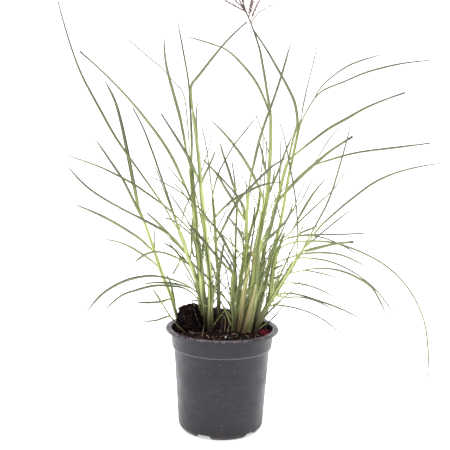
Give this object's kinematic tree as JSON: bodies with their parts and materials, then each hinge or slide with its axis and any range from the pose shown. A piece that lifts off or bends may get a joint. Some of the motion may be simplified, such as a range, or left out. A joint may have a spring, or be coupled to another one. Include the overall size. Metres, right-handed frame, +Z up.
{
  "type": "potted ornamental grass",
  "caption": "Young clump of tall arching ornamental grass with slender leaves and a feathery flower head, growing in a round plastic nursery pot of peat",
  "frame": {"origin": "on the ground, at the centre of the pot's flat foot", "axes": "+Z up along the pot's axis; +X to the right as seen from the front; +Y away from the front"},
  "size_m": [0.5189, 0.2705, 0.6109],
  "materials": {
    "pot": "satin",
    "peat": "matte",
    "granules": "matte",
    "stems": "satin",
    "dry_sheaths": "matte",
    "leaves": "satin",
    "flower_head": "matte"
  },
  "bodies": {
    "root": {"pot": "pot", "peat": "peat", "red_granules": "granules", "stem_far_left": "stems", "stem_left_outer": "stems", "stem_left_broad": "stems", "stem_left_tall": "stems", "stem_slim_left": "stems", "stem_middle": "stems", "stem_slim_middle": "stems", "stem_straight": "stems", "stem_pale": "stems", "stem_flower": "stems", "stem_right_inner": "stems", "stem_right_tall": "stems", "stem_right_back": "stems", "stem_right_broad": "stems", "stem_right_leaning": "stems", "shoot_left_rim": "stems", "shoot_right_rim": "stems", "dry_sheath_left": "dry_sheaths", "dry_sheath_right": "dry_sheaths", "leaf_left_high": "leaves", "leaf_left_crossing": "leaves", "leaf_flower_arch": "leaves", "leaf_right_top": "leaves", "leaf_right_high": "leaves", "leaf_right_broad": "leaves", "leaf_right_long": "leaves", "leaf_left_low_arch": "leaves", "leaf_left_sweeping": "leaves", "leaf_far_left_side": "leaves", "leaf_far_left_pale": "leaves", "leaf_long_slant": "leaves", "leaf_left_curling": "leaves", "leaf_slim_upright": "leaves", "leaf_pair_slant": "leaves", "leaf_centre_crossing": "leaves", "leaf_centre_low": "leaves", "leaf_centre_rising": "leaves", "leaf_centre_back": "leaves", "leaf_right_upright": "leaves", "leaf_right_inner": "leaves", "leaf_right_forked": "leaves", "leaf_right_level": "leaves", "leaf_right_drooping": "leaves", "leaf_right_stub": "leaves", "leaf_right_low_a": "leaves", "leaf_right_low_b": "leaves", "leaf_right_low_c": "leaves", "leaf_right_low_d": "leaves", "leaf_right_low_e": "leaves", "leaf_right_low_f": "leaves", "leaf_left_nodding": "leaves", "leaf_left_bowed": "leaves", "leaf_left_dark": "leaves", "leaf_left_bowed_low": "leaves", "leaf_left_thin_slant": "leaves", "flower_head": "flower_head"}
  },
  "joints": []
}
